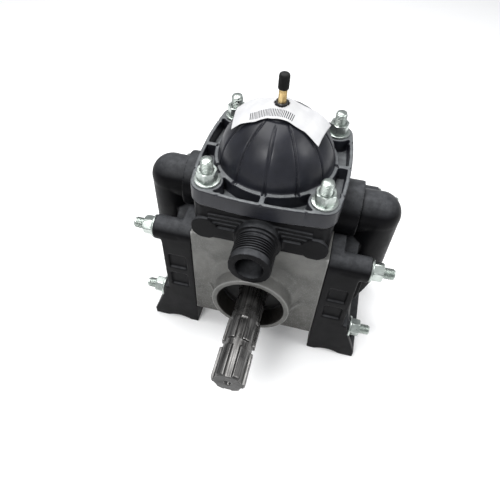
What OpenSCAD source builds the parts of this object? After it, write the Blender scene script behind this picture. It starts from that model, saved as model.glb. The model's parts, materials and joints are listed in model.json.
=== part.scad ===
// Three-cylinder diaphragm pump: a crankcase, two side heads that carry the feet,
// a top head and an air chamber. The drive shaft points along -Y and +Z is up.
// Z = 0 is the underside of the feet, on the centre of the foot bolts.

/* [Layout] */
// Height of the drive shaft axis above the base
shaft_height = 102; // [96:1:126]
// Distance from the shaft axis to each cylinder's flange face
flange_reach = 72; // [71:1:88]
// Half of the spacing between the studs of one head
stud_half = 55; // [53:1:57]
// Radius of the boss around each stud
boss_r = 14; // [13.5:0.5:15]
// Height of the air chamber's stud seats above the top flange face
dome_seat_rise = 62.5; // [60:0.5:76]

/* [Crankcase] */
// Outer radius of the round boss around the shaft
front_boss_r = 43; // [42:0.5:52]
// Length of that boss in front of the crankcase
front_boss_len = 25; // [22:1:32]
// Radius of the deep recess in the boss
recess_r = 37; // [36.5:0.5:38]
// Half of the crank chamber's length along the shaft
chamber_half = 44; // [43:1:47]
// Thickness of the crankcase floor under the crank chamber
floor_wall = 12; // [9:1:16]
// Depth of the shallow panels in the rear face
panel_depth = 4; // [1:0.5:6]

/* [Drive shaft] */
// Radius of the splined end over the teeth
spline_r = 17.45; // [14:0.05:21]
// Radius at the root of the splines
spline_root_r = 14.6; // [12:0.1:17]
// Width of one spline tooth
spline_tooth_w = 8.6; // [5:0.1:9.5]
// Length of the splined part
spline_len = 68; // [56:1:84]
// Distance from the shaft axis origin to the splined end
shaft_reach = 185; // [176:1:222]
// Radius of the smooth neck behind the splines
neck_r = 15.5; // [13:0.5:17]
// Radius of the seal and bearing journals
journal_r = 17.5; // [17.5:0.5:18]
// Eccentric throw, half of the piston stroke
throw = 4; // [3:0.25:4.5]

/* [Bearings] */
// Outer radius of the two main ball bearings
bearing_r = 36; // [35:0.5:36.5]
// Width of each main bearing
bearing_w = 17; // [14:1:18]
// Number of balls in each main bearing
ball_count = 9; // [7:1:9]
// Radius of one ball
ball_r = 5.5; // [4.5:0.25:5.5]
// Number of rollers around the eccentric
roller_count = 20; // [12:1:21]
// Radius of one roller
roller_r = 3.5; // [3:0.25:3.5]
// Outer radius of the ring that pushes the shoes
ring_r = 36; // [35:0.5:36.5]

/* [Cylinders] */
// Radius of each piston's bore
bore_r = 40; // [34:0.5:40]
// Wall of each cylinder sleeve
sleeve_wall = 3.45; // [3:0.05:3.5]
// Radius of each diaphragm
diaphragm_r = 50; // [49:0.5:52]
// Thickness of each diaphragm
diaphragm_t = 3; // [2.5:0.25:4]
// Radius of the disc that holds a diaphragm to its piston
disc_r = 24; // [20:0.5:25]
// Radius of the pin between a piston and its rod
pin_r = 5; // [4:0.5:6]

/* [Valves] */
// Offset of each valve from its cylinder's axis
valve_offset = 24; // [24:0.5:26]
// Outer radius of each valve cage
valve_r = 14.5; // [12.5:0.25:14.5]
// Lift of each valve plate
valve_lift = 3; // [2:0.25:4]

/* [Heads] */
// Distance from the flange face to the outer face of a side head
head_depth = 43; // [42:1:52]
// Thickness of a head's flange plate
plate_t = 14; // [10:1:16]
// Radius of the round cover over the valves
cap_r = 43; // [42.5:0.5:46]
// Height of the ducts above the shaft axis
duct_rise = 84; // [83:1:90]
// Outer radius of each duct
duct_outer_r = 23; // [22:0.5:24]
// Inner radius of each duct
duct_bore_r = 15.5; // [12:0.5:16]
// Outer radius of each collar on the top head
collar_r = 30; // [26:0.5:30]
// Length of each collar beyond the top head's stud bosses
collar_len = 24; // [22:1:28]
// Outer radius of the threaded ports
port_r = 20.95; // [18:0.05:21]
// Inner radius of the front port, which is the inlet
inlet_bore_r = 13.5; // [13:0.5:14]
// Inner radius of the rear port, which is the outlet
outlet_bore_r = 12; // [9:0.5:12.5]
// Length of each port in front of the head
port_len = 41; // [34:1:50]

/* [Feet] */
// Half width of the pump over its feet
foot_reach = 130; // [128:1:150]
// Thickness of the foot plates
foot_t = 10; // [8:1:12]
// Height of the arches under the feet
arch_rise = 4.5; // [0:0.5:6]
// Half of the foot bolt spacing across the pump
foot_bolt_x = 119; // [117:1:122]
// Half of the foot bolt spacing along the shaft
foot_bolt_y = 45; // [36:1:48]
// Radius of the foot bolt holes
foot_bolt_r = 5.5; // [4.5:0.5:6.5]

/* [Air chamber] */
// Outer radius of the dome
dome_r = 58; // [50:0.5:58.5]
// Wall of the dome
dome_wall = 5; // [4:0.5:7]
// Outer radius of the ring wall around the dome
ring_wall_r = 62; // [61.5:0.5:63]
// Bulge of the flange's sides beyond the studs' bosses
side_bulge = 4; // [3:0.5:6]
// Thickness of the flange's ribs and rims
rib_t = 4; // [3:0.5:5]
// Height of the flange
flange_h = 17.5; // [14:0.5:20]

/* [Fasteners] */
// Radius of the head studs
stud_r = 6; // [5:0.5:6]
// Distance across the flats of the stud nuts
nut_af = 18; // [17:0.5:21]
// Height of the stud nuts
nut_h = 10.5; // [8:0.5:13]
// Radius of the stud washers
washer_r = 12.5; // [11:0.5:13.5]
// Thickness of the stud washers
washer_t = 2.5; // [1.5:0.25:3.5]
// Length of stud that shows beyond each nut
stud_tip = 12; // [3:0.5:14]

/* [Tyre valve] */
// Radius of the tyre valve's stem
stem_r = 3.85; // [3.5:0.05:4.5]
// Length of stem between the nut and the cap
stem_show = 13; // [8:0.5:18]
// Radius of the tyre valve's cap
cap_outer_r = 5; // [4.75:0.05:5.6]
// Height of the tyre valve's cap
cap_h = 14.5; // [13:0.5:18]

/* [Hidden] */
$fn = 48;

fit = 0.05;
running_fit = 0.04;
free_gap = 0.4;
shell_fit = 0.3;
tiny = 0.01;
over = 1;
aluminium_colour = [0.62, 0.63, 0.62];
plastic_colour = [0.09, 0.09, 0.10];
zinc_colour = [0.75, 0.77, 0.74];
steel_colour = [0.30, 0.29, 0.28];
rubber_colour = [0.06, 0.06, 0.06];
brass_colour = [0.80, 0.60, 0.32];
iron_colour = [0.35, 0.34, 0.33];
SIDES = ["left", "right", "top"];

// Crankcase and its bores
face_half = stud_half + boss_r;
chamber_r = flange_reach - 26;
sleeve_outer_r = bore_r + sleeve_wall;
sleeve_len = flange_reach - max(chamber_r, sleeve_outer_r + 2.5);
sleeve_lip_r = sleeve_outer_r + 3.5;
sleeve_lip_t = 3;
stud_depth = flange_reach - stud_half - stud_r - 1;
case_bottom = shaft_height - face_half;
case_front = -face_half;
boss_front = case_front - front_boss_len;
bearing_front = -chamber_half - bearing_w;
seal_w = 10;
circlip_t = 2;
seal_front = bearing_front - seal_w;

// Rear cover and the oil plugs
cover_r = 58;
gasket_t = 1;
cover_in = face_half + gasket_t;
cover_out = cover_in + 8;
cover_bolt_pcr = 52;
cover_bolt_count = 6;
cover_bolt_r = 4;
fill_rise = 41;
fill_seat = cover_out + 4.5;
drain_y = 30;
drain_r = 6;

// Main bearings
BEARING_STARTS = [bearing_front, chamber_half];
ball_pitch_r = (journal_r + bearing_r) / 2 + 0.25;
race_t = (bearing_r - journal_r) / 2 - ball_r + 1.5;

// Eccentric and its bearing, with the eccentric pointing up at rest
eccentric_r = journal_r + throw + 1;
roller_pitch_r = eccentric_r + roller_r + running_fit;
ring_bore_r = roller_pitch_r + roller_r + running_fit;
ring_half = 20;
shoe_t = 5.6;
shoe_face = ring_r + 2 * throw + free_gap;

// Pistons and diaphragms, measured outward from the shaft axis at mid-stroke
piston_len = sleeve_len - throw;
piston_in = flange_reach - piston_len;
crown_r = 25;
crown_drop = 8;
crown_t = 4.5;
pin_place = flange_reach - 13;
pin_boss_r = pin_r + 3.5;
rod_eye_r = pin_r + 3;
rod_eye_half = 9.5;
cone_r = bore_r - 2;
disc_t = 3;
disc_bolt_r = 4;
disc_bolt_head_h = 5;

// Pump chambers and valves in the heads, with inlets in front and outlets behind
chamber_depth = 8.5;
chamber_outer_r = bore_r + 4;
chamber_inner_r = disc_r + 4;
bolt_recess = disc_t + disc_bolt_head_h + throw + over;
valve_in = flange_reach + 12;
seat_h = 4;
spider_h = 3;
plate_h = 2;
spring_room = 5;
cage_h = seat_h + plate_h + valve_lift + spring_room + spider_h;
VALVES = [-1, 1];
valve_out = valve_in + cage_h;
port_height = shaft_height + duct_rise + 2;
duct_height = shaft_height + duct_rise;
duct_web = 3;
tower_x = flange_reach + head_depth - 2;
spigot_gap = 0.1;
spigot_r = duct_outer_r - 3.1;
collar_out = face_half + collar_len;
spigot_in = collar_out - 17;
seal_groove_x = spigot_in + 5;
seal_ring_w = 3.4;
elbow_ease = 0.3;
gallery_end = 56;
block_top = flange_reach + shaft_height + dome_seat_rise - flange_h - diaphragm_t;
plenum_bottom = shaft_height + valve_out;
plenum_top = block_top - 3;

// Air chamber
dome_base = block_top + diaphragm_t;
dome_seat = dome_base + flange_h;
dome_centre = dome_seat - 4.5;
dome_apex = dome_centre + dome_r;
flange_boss_r = boss_r + 2;
flange_edge = stud_half + flange_boss_r + side_bulge;
bulge_r = (stud_half * stud_half + side_bulge * side_bulge) / (2 * side_bulge);
stem_boss_h = 3;
stem_nut_h = 3.5;
stem_base = dome_apex + stem_boss_h;
cap_bottom = stem_base + stem_nut_h + stem_show - 1;

// Turns a shape that points up into one that points out along a cylinder's axis
function turn(side) = side == "left" ? -90 : side == "right" ? 90 : 0;
// How far each piston stands beyond mid-stroke at rest
function lift(side) = side == "top" ? throw : 0;
// Outward distance of the nut seats from the flange face
function nut_seat(side) = side == "top" ? dome_seat_rise : head_depth;

module at_side(side)
  translate([0, 0, shaft_height])
    rotate([0, turn(side), 0])
      children();

module along_y(y0, y1, r)
  translate([0, y0, 0])
    rotate([-90, 0, 0])
      cylinder(h = y1 - y0, r = r);

module at_shaft()
  translate([0, 0, shaft_height])
    children();

module ring(r_in, r_out, h)
  difference() {
    cylinder(h = h, r = r_out);
    translate([0, 0, -over]) cylinder(h = h + 2 * over, r = r_in);
  }

module ring_y(y0, y1, r_in, r_out)
  difference() {
    along_y(y0, y1, r_out);
    along_y(y0 - over, y1 + over, r_in);
  }

module at_corners(half)
  for (x = [-half, half], y = [-half, half])
    translate([x, y, 0])
      children();

// A square plate with round corners, centred on Z
module rounded_plate(half, corner_r, h) {
  inner = half - corner_r;
  translate([-half, -inner, 0]) cube([2 * half, 2 * inner, h]);
  translate([-inner, -half, 0]) cube([2 * inner, 2 * half, h]);
  at_corners(inner) cylinder(h = h, r = corner_r);
}

module block(x0, x1, y0, y1, z0, z1)
  translate([x0, y0, z0])
    cube([x1 - x0, y1 - y0, z1 - z0]);

// ---------------------------------------------------------------- crankcase

module case_outside() {
  boss_root_h = 9;
  block(-flange_reach, flange_reach, -face_half, face_half, case_bottom + 6, shaft_height + flange_reach);
  block(-flange_reach, flange_reach, 6 - face_half, face_half - 6, case_bottom, case_bottom + 7);
  for (y = [6 - face_half, face_half - 6])
    translate([-flange_reach, y, case_bottom + 6])
      rotate([0, 90, 0])
        cylinder(h = 2 * flange_reach, r = 6);
  at_shaft() along_y(boss_front, case_front + over, front_boss_r);
  at_shaft()
    translate([0, case_front + over, 0])
      rotate([90, 0, 0])
        cylinder(h = boss_root_h + over, r1 = front_boss_r + 9, r2 = front_boss_r - tiny);
  case_gussets();
}

// Webs that brace the round boss against the case
module case_gussets() {
  web_t = 5;
  gusset_len = 15;
  for (angle = [12, 168])
    at_shaft()
      rotate([0, angle, 0])
        translate([front_boss_r - 2, 0, -web_t / 2])
          linear_extrude(web_t)
            polygon([[0, case_front + 1], [0, boss_front + 8], [gusset_len, case_front + 1]]);
}

module case_panels() {
  panel_x = 56;
  for (s = [-1, 1])
    translate([0, face_half, 0])
      for (z = [[shaft_height + 14, shaft_height + 52], [shaft_height - 54, shaft_height - 18]])
        block(s > 0 ? 22 : -panel_x, s > 0 ? panel_x : -22, -panel_depth, panel_depth, z[0], z[1]);
}

module case_underside() {
  for (s = [-1, 1])
    block(s > 0 ? 8 : -58, s > 0 ? 58 : -8, -56, 56, case_bottom - over, shaft_height - chamber_r - floor_wall);
}

module case_bores() {
  at_shaft() {
    along_y(-chamber_half, face_half + over, chamber_r);
    along_y(seal_front, -chamber_half + over, bearing_r + fit);
    along_y(seal_front - circlip_t - 2 * fit, seal_front + tiny, recess_r + 1.5);
    along_y(boss_front - over, seal_front, recess_r);
  }
  for (side = SIDES)
    at_side(side) {
      translate([0, 0, 20]) cylinder(h = flange_reach, r = sleeve_outer_r + fit);
      translate([0, 0, flange_reach - sleeve_lip_t]) cylinder(h = 20, r = sleeve_lip_r + fit);
      translate([0, 0, flange_reach - stud_depth]) at_corners(stud_half) cylinder(h = 30, r = stud_r + fit);
    }
  at_shaft() cover_bolt_places() along_y(face_half - 14, face_half + over, cover_bolt_r + fit);
  translate([0, drain_y, 0]) cylinder(h = shaft_height, r = drain_r + fit);
}

module cover_bolt_places()
  for (i = [0 : cover_bolt_count - 1])
    rotate([0, i * 360 / cover_bolt_count, 0])
      translate([cover_bolt_pcr, 0, 0])
        children();

module crankcase()
  color(aluminium_colour)
    difference() {
      case_outside();
      case_panels();
      case_underside();
      case_bores();
    }

// ---------------------------------------------------------------- rear cover

module rear_cover()
  color(aluminium_colour)
    at_shaft()
      difference() {
        union() {
          along_y(cover_in, cover_out, cover_r);
          along_y(chamber_half, cover_in + over, chamber_r - fit);
          along_y(cover_out - over, cover_out + 5, 30);
          for (i = [0 : 5])
            rotate([0, 30 + i * 60, 0])
              block(0, 43, cover_out - over, cover_out + 4, -2.5, 2.5);
          translate([0, 0, fill_rise]) along_y(cover_out - over, fill_seat, 8);
        }
        along_y(chamber_half - over, chamber_half + bearing_w, bearing_r + fit);
        along_y(chamber_half, chamber_half + bearing_w + 6, bearing_r - 5);
        cover_bolt_places() along_y(cover_in - over, cover_out + over, cover_bolt_r + 2 * fit);
        translate([0, 0, fill_rise]) along_y(chamber_half - over, cover_out + 6, 4 + fit);
      }

module rear_cover_gasket()
  color(rubber_colour)
    at_shaft()
      difference() {
        ring_y(face_half, cover_in, chamber_r + fit, cover_r - 0.5);
        cover_bolt_places() along_y(face_half - over, cover_in + over, cover_bolt_r + 2 * fit);
      }

// A hexagon-headed bolt along +Y, with its head's seat at y = 0
module hex_bolt_y(r, len, across, head_h) {
  along_y(-len, over, r);
  rotate([-90, 0, 0]) cylinder(h = head_h, r = across / 2 / cos(30), $fn = 6);
}

module rear_cover_bolts()
  color(zinc_colour)
    at_shaft()
      cover_bolt_places()
        translate([0, cover_out, 0])
          hex_bolt_y(cover_bolt_r, 20, 13, 5.3);

module oil_fill_plug()
  color(steel_colour)
    translate([0, fill_seat, shaft_height + fill_rise]) {
      along_y(-10, over, 4);
      along_y(0, 2, 7.5);
      rotate([-90, 0, 0]) cylinder(h = 7, r = 6.5, $fn = 6);
    }

module oil_drain_plug()
  color(steel_colour)
    translate([0, drain_y, case_bottom]) {
      cylinder(h = shaft_height - chamber_r - case_bottom - 3, r = drain_r);
      translate([0, 0, -2]) cylinder(h = 2, r = drain_r + 4);
      translate([0, 0, -8]) cylinder(h = 7, r = drain_r + 2.5, $fn = 6);
    }

// ---------------------------------------------------------------- cylinders and bearings

module cylinder_sleeves()
  color(iron_colour)
    for (side = SIDES)
      at_side(side) {
        translate([0, 0, flange_reach - sleeve_len]) ring(bore_r, sleeve_outer_r, sleeve_len);
        translate([0, 0, flange_reach - sleeve_lip_t]) ring(bore_r, sleeve_lip_r, sleeve_lip_t);
      }

module ball_groove()
  rotate([-90, 0, 0])
    rotate_extrude()
      translate([ball_pitch_r, 0])
        circle(r = ball_r + running_fit);

module race(r_in, r_out)
  at_shaft()
    for (y = BEARING_STARTS)
      translate([0, y + bearing_w / 2, 0])
        difference() {
          ring_y(-bearing_w / 2, bearing_w / 2, r_in, r_out);
          ball_groove();
        }

module bearing_outer_races()
  color(zinc_colour)
    race(bearing_r - race_t, bearing_r);

module bearing_inner_races()
  color(zinc_colour)
    race(journal_r + fit, journal_r + race_t);

module ball_places()
  for (y = BEARING_STARTS, i = [0 : ball_count - 1])
    translate([0, y + bearing_w / 2, 0])
      rotate([0, i * 360 / ball_count, 0])
        translate([ball_pitch_r, 0, 0])
          children();

module bearing_balls()
  color(zinc_colour)
    at_shaft() ball_places() sphere(r = ball_r);

module bearing_cages()
  color(brass_colour)
    at_shaft()
      difference() {
        for (y = BEARING_STARTS)
          translate([0, y + bearing_w / 2, 0])
            ring_y(-7, 7, ball_pitch_r - 1.2, ball_pitch_r + 1.2);
        ball_places()
          rotate([0, 90, 0])
            cylinder(h = 8, r = ball_r + 0.15, center = true);
      }

module shaft_seal()
  color(rubber_colour)
    at_shaft() {
      ring_y(seal_front, bearing_front, bearing_r - 2.5, bearing_r);
      ring_y(seal_front + 1, seal_front + 4, journal_r + 4, bearing_r - 2);
      ring_y(seal_front + 1, seal_front + 8, journal_r + running_fit, journal_r + 5);
    }

module seal_circlip()
  color(steel_colour)
    at_shaft()
      difference() {
        ring_y(seal_front - circlip_t - fit, seal_front - fit, recess_r - 3, recess_r + 1.4);
        block(-9, 9, seal_front - 10, seal_front + 10, -recess_r - 10, 0);
      }

// ---------------------------------------------------------------- drive shaft

module spline_profile() {
  circle(r = spline_root_r);
  for (i = [0 : 5])
    rotate(i * 60)
      intersection() {
        circle(r = spline_r);
        translate([0, -spline_tooth_w / 2]) square([spline_r + 1, spline_tooth_w]);
      }
}

module spline_end()
  difference() {
    intersection() {
      translate([0, -shaft_reach + spline_len, 0]) rotate([90, 0, 0]) linear_extrude(spline_len) spline_profile();
      union() {
        along_y(-shaft_reach + 2, -shaft_reach + spline_len, spline_r + 1);
        translate([0, -shaft_reach, 0]) rotate([-90, 0, 0]) cylinder(h = 2, r1 = spline_r - 1.5, r2 = spline_r + 0.5);
      }
    }
    ring_y(-shaft_reach + 34, -shaft_reach + 42, spline_root_r + 0.4, spline_r + 2);
    translate([0, -shaft_reach - tiny, 0]) rotate([-90, 0, 0]) cylinder(h = 6, r1 = 4, r2 = 1);
  }

module drive_shaft()
  color(steel_colour)
    at_shaft() {
      spline_end();
      along_y(-shaft_reach + spline_len - tiny, seal_front - 2, neck_r);
      along_y(seal_front - 3, -chamber_half + tiny, journal_r);
      for (s = [-1, 1])
        along_y(s > 0 ? ring_half + 2 : -chamber_half, s > 0 ? chamber_half : -ring_half - 2, journal_r + 3);
      translate([0, 0, throw]) along_y(-ring_half - 2 - tiny, ring_half + 2 + tiny, eccentric_r);
      along_y(chamber_half - tiny, chamber_half + bearing_w, journal_r);
    }

module at_eccentric()
  translate([0, 0, shaft_height + throw])
    children();

module eccentric_rollers()
  color(zinc_colour)
    at_eccentric()
      for (i = [0 : roller_count - 1])
        rotate([0, i * 360 / roller_count, 0])
          translate([roller_pitch_r, 0, 0])
            along_y(1.5 - ring_half, ring_half - 1.5, roller_r);

module eccentric_ring()
  color(steel_colour)
    at_eccentric()
      ring_y(-ring_half, ring_half, ring_bore_r, ring_r);

// ---------------------------------------------------------------- pistons

module at_piston(side)
  at_side(side)
    translate([0, 0, lift(side)])
      children();

module piston(side) {
  skirt_r = bore_r - running_fit;
  color(aluminium_colour)
    at_piston(side)
      difference() {
        union() {
          translate([0, 0, piston_in]) cylinder(h = piston_len - crown_drop, r = skirt_r);
          translate([0, 0, flange_reach - crown_drop]) cylinder(h = crown_drop, r1 = skirt_r, r2 = crown_r);
        }
        difference() {
          union() {
            translate([0, 0, piston_in - over]) cylinder(h = piston_len - crown_drop - 2, r = skirt_r - 6);
            translate([0, 0, flange_reach - crown_drop - 3.01])
              cylinder(h = crown_drop + 3 - crown_t, r1 = skirt_r - 6, r2 = crown_r - 4);
          }
          translate([0, 0, pin_place]) {
            along_y(rod_eye_half + 0.5, skirt_r, pin_boss_r);
            along_y(-skirt_r, -rod_eye_half - 0.5, pin_boss_r);
          }
        }
        translate([0, 0, pin_place]) along_y(-bore_r, bore_r, pin_r + fit / 2);
        cylinder(h = flange_reach + over, r = disc_bolt_r + fit);
      }
}

module rod(side) {
  shoe_half_x = 25;
  shoe_half_y = 18;
  color(steel_colour)
    at_piston(side)
      difference() {
        union() {
          translate([0, 0, pin_place]) along_y(-rod_eye_half, rod_eye_half, rod_eye_r);
          block(-6, 6, -7, 7, shoe_face + 2, pin_place);
          intersection() {
            along_y(-shoe_half_y, shoe_half_y, shoe_face + shoe_t);
            block(-shoe_half_x, shoe_half_x, -20, 20, 0, shoe_face + 10);
          }
        }
        along_y(-30, 30, shoe_face);
        translate([0, 0, pin_place]) along_y(-20, 20, pin_r + running_fit);
      }
}

module piston_pin(side)
  color(zinc_colour)
    at_piston(side)
      translate([0, 0, pin_place])
        along_y(4 - bore_r, bore_r - 4, pin_r);

module disc(side)
  color(zinc_colour)
    at_piston(side)
      translate([0, 0, flange_reach + diaphragm_t])
        ring(disc_bolt_r + fit, disc_r, disc_t);

module disc_bolt(side)
  color(zinc_colour)
    at_piston(side)
      translate([0, 0, flange_reach + diaphragm_t + disc_t]) {
        translate([0, 0, -disc_t - diaphragm_t - crown_t + 0.5])
          cylinder(h = disc_t + diaphragm_t + crown_t, r = disc_bolt_r);
        cylinder(h = disc_bolt_head_h, r = 7.5, $fn = 6);
      }

// The diaphragm's middle follows its piston, and its rim is clamped under the head
module diaphragm(side) {
  up = lift(side);
  color(rubber_colour)
    at_side(side)
      translate([0, 0, flange_reach])
        rotate_extrude()
          polygon([
            [disc_bolt_r + fit, up], [crown_r + 1, up], [cone_r, 0], [diaphragm_r, 0],
            [diaphragm_r, diaphragm_t], [cone_r, diaphragm_t], [crown_r + 1, up + diaphragm_t],
            [disc_bolt_r + fit, up + diaphragm_t]
          ]);
}

// ---------------------------------------------------------------- valves

module at_valve(side, way)
  at_side(side)
    translate([0, way * valve_offset, valve_in + (way < 0 ? cage_h : 0)])
      mirror([0, 0, way < 0 ? 1 : 0])
        children();

module valve_cage() {
  post_r = valve_r - 3.5;
  ring(valve_r - 5.5, valve_r, seat_h);
  translate([0, 0, cage_h - spider_h]) {
    ring(valve_r - 4.5, valve_r, spider_h);
    cylinder(h = spider_h, r = 7.2);
    for (a = [0, 90])
      rotate(a)
        translate([1 - valve_r, -1.5, 0])
          cube([2 * valve_r - 2, 3, spider_h]);
  }
  for (a = [45 : 90 : 315])
    rotate(a)
      intersection() {
        ring(valve_r - 2, valve_r, cage_h);
        translate([valve_r - 5, -2.5, 0]) cube([10, 5, cage_h]);
      }
}

module valve_cages()
  color(plastic_colour)
    for (side = SIDES, way = VALVES)
      at_valve(side, way) valve_cage();

module valve_plate(side, way)
  color(zinc_colour)
    at_valve(side, way)
      translate([0, 0, seat_h])
        cylinder(h = plate_h, r = valve_r - 2.5);

// A flat-wire helical spring between the plate and the spider
module valve_spring() {
  wire_arc = 120;
  spring_in_r = 4.8;
  spring_out_r = 6.6;
  spring_h = cage_h - spider_h - seat_h - plate_h - 0.1;
  translate([0, 0, seat_h + plate_h + 0.05])
    linear_extrude(spring_h, twist = 900, slices = 30, $fn = 6)
      polygon([
        for (a = [0 : 40 : wire_arc]) spring_out_r * [cos(a), sin(a)],
        for (a = [wire_arc : -40 : 0]) spring_in_r * [cos(a), sin(a)]
      ]);
}

module valve_springs()
  color(zinc_colour)
    for (side = SIDES, way = VALVES)
      at_valve(side, way) valve_spring();

// ---------------------------------------------------------------- heads

// The space that each head has over its diaphragm, in the cylinder's own direction
module head_cavity() {
  translate([0, 0, flange_reach - over]) cylinder(h = diaphragm_t + over, r = diaphragm_r + fit);
  translate([0, 0, flange_reach + diaphragm_t - tiny])
    cylinder(h = chamber_depth, r1 = chamber_outer_r, r2 = chamber_inner_r);
  translate([0, 0, flange_reach + diaphragm_t]) cylinder(h = bolt_recess, r = 9);
  for (way = VALVES)
    translate([0, way * valve_offset, 0]) {
      translate([0, 0, valve_in - 4]) cylinder(h = cage_h + 4, r = valve_r + fit);
      translate([0, 0, valve_out - tiny]) cylinder(h = 5, r = valve_r - 3.5);
    }
}

module stud_holes(side)
  at_side(side)
    at_corners(stud_half)
      translate([0, 0, flange_reach - over])
        cylinder(h = 120, r = stud_r + 0.5);

// The right head in place; the left one is its mirror image
module head_body() {
  boss_side_r = boss_r - 0.5;
  at_side("right")
    translate([0, 0, flange_reach]) {
      rounded_plate(face_half, boss_r, plate_t);
      at_corners(stud_half)
        translate([0, 0, over])
          cylinder(h = head_depth - over, r = boss_side_r);
      translate([0, 0, over]) cylinder(h = 29, r = 58);
      translate([0, 0, 2 * over]) cylinder(h = head_depth - 2 * over, r = cap_r);
    }
  for (s = [-1, 1])
    block(flange_reach, flange_reach + 34, s > 0 ? face_half - 8 : -face_half,
          s > 0 ? face_half : 8 - face_half, shaft_height - stud_half, shaft_height + stud_half);
  head_ribs();
  foot();
}

// Ribs between the round cover and the stud bosses
module head_ribs()
  at_side("right")
    translate([0, 0, flange_reach])
      for (a = [45 : 90 : 315])
        rotate(a)
          translate([cap_r - 2, -2.5, 0])
            cube([stud_half * sqrt(2) - cap_r, 5, head_depth - 8]);

// The duct rises outside the valve cover and turns in towards the top head
module tower() {
  taper_z = shaft_height - 32;
  full_z = shaft_height + 10;
  outer_x = tower_x + duct_outer_r;
  difference() {
    translate([tower_x, 0, taper_z]) cylinder(h = duct_height - taper_z, r = duct_outer_r);
    translate([0, 40, 0])
      rotate([90, 0, 0])
        linear_extrude(80)
          polygon([[outer_x - 16, taper_z - over], [outer_x + over, taper_z - over], [outer_x + over, full_z]]);
    // Clear of the top head's collar
    block(0, collar_out + 0.6, -duct_outer_r, duct_outer_r, duct_height - collar_r - 1, duct_height + over);
  }
}

// The elbow at the top of the tower and the spigot that plugs into the collar
module elbow()
  translate([tower_x, 0, duct_height]) {
    sphere(r = duct_outer_r + elbow_ease);
    rotate([0, -90, 0]) cylinder(h = tower_x - collar_out - shell_fit, r = duct_outer_r);
    rotate([0, -90, 0]) cylinder(h = tower_x - spigot_in, r = spigot_r);
  }

module duct_bore() {
  difference() {
    union() {
      translate([tower_x, 0, shaft_height]) cylinder(h = duct_rise, r = duct_bore_r);
      translate([tower_x, 0, duct_height]) sphere(r = duct_bore_r + elbow_ease);
      translate([spigot_in - over, 0, duct_height])
        rotate([0, 90, 0])
          cylinder(h = tower_x - spigot_in + over, r = duct_bore_r);
    }
    block(0, 200, -duct_web / 2, duct_web / 2, 0, 300);
  }
  for (way = VALVES)
    translate([valve_out - tiny, way * valve_offset, shaft_height])
      rotate([0, 90, 0])
        cylinder(h = 5, r = valve_r - 3.5);
  for (way = VALVES)
    block(valve_out, valve_out + 5, way > 0 ? 5 : -valve_offset, way > 0 ? valve_offset : -5,
          shaft_height - 6, shaft_height + 6);
}

module foot() {
  neck_z = case_bottom + 14;
  step = flange_reach + head_depth;
  translate([0, face_half, 0])
    rotate([90, 0, 0])
      linear_extrude(2 * face_half)
        polygon([
          [flange_reach, 0], [foot_reach, 0], [foot_reach, foot_t], [step, neck_z],
          [step - 4, neck_z + 18], [flange_reach, neck_z + 18]
        ]);
}

module foot_cuts() {
  pocket_x = flange_reach + 9;
  pocket_y = face_half - 8;
  boss_low = shaft_height - stud_half - boss_r;
  block(pocket_x, foot_reach + 10, -pocket_y, pocket_y, foot_t, boss_low);
  block(pocket_x, foot_reach + 10, boss_r - stud_half + 2, stud_half - boss_r - 2, foot_t, shaft_height - 58);
  for (y = [-foot_bolt_y, foot_bolt_y])
    translate([foot_bolt_x, y, -over])
      cylinder(h = foot_t + 2 * over, r = foot_bolt_r);
  // Flat seats for the washers where the foot slopes out
  at_side("right")
    for (y = [-stud_half, stud_half])
      translate([stud_half, y, flange_reach + head_depth])
        cylinder(h = 30, r = washer_r + 0.7);
  arch_x = (pocket_x + foot_reach) / 2 - 8;
  arch_half = 15;
  arch_r = (arch_half * arch_half + arch_rise * arch_rise) / (2 * max(arch_rise, 0.5));
  translate([arch_x, 0, arch_rise - arch_r]) along_y(-face_half - over, face_half + over, arch_r);
}

module side_head()
  difference() {
    union() {
      difference() {
        head_body();
        // Room for the top head's collar
        translate([flange_reach - over, 0, duct_height])
          rotate([0, 90, 0])
            cylinder(h = collar_out - flange_reach + over + shell_fit, r = collar_r + shell_fit);
      }
      tower();
      elbow();
    }
    at_side("right") head_cavity();
    stud_holes("right");
    duct_bore();
    foot_cuts();
    head_windows();
    translate([seal_groove_x, 0, duct_height])
      rotate([0, 90, 0])
        ring(spigot_r - 2, spigot_r + over, seal_ring_w + 2 * fit);
  }

// Shallow windows in the front and rear walls
module head_windows()
  for (f = [-1, 1], z = [shaft_height - 26, shaft_height + 6])
    translate([0, f * face_half, 0])
      block(flange_reach + 8, flange_reach + 28, -3, 3, z, z + 22);

module right_head()
  color(plastic_colour)
    side_head();

module left_head()
  color(plastic_colour)
    mirror([1, 0, 0])
      side_head();

module top_outside() {
  base_z = shaft_height + flange_reach;
  translate([0, 0, base_z]) rounded_plate(face_half, boss_r, block_top - base_z);
  for (s = [-1, 1]) {
    // A raised band with round ends by the studs
    block(-stud_half, stud_half, s > 0 ? face_half - over : -face_half - 3,
          s > 0 ? face_half + 3 : over - face_half, base_z + 6, base_z + 18);
    for (x = [-stud_half, stud_half])
      translate([x, 0, base_z + boss_r])
        along_y(s > 0 ? face_half - over : -face_half - 3, s > 0 ? face_half + 3 : over - face_half, boss_r);
    for (z = [22, 27, 32])
      block(-stud_half + 4, stud_half - 4, s > 0 ? face_half - over : -face_half - 2,
            s > 0 ? face_half + 2 : over - face_half, base_z + z, base_z + z + 2);
    difference() {
      union() {
        translate([s > 0 ? face_half - 4 : -collar_out, 0, duct_height])
          rotate([0, 90, 0])
            cylinder(h = collar_out - face_half + 4, r = collar_r);
        port(s);
      }
      // Room for the crankcase's top edge
      block(-flange_reach - shell_fit, flange_reach + shell_fit, -face_half - shell_fit, face_half + shell_fit,
            base_z - 60, base_z);
    }
  }
}

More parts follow.
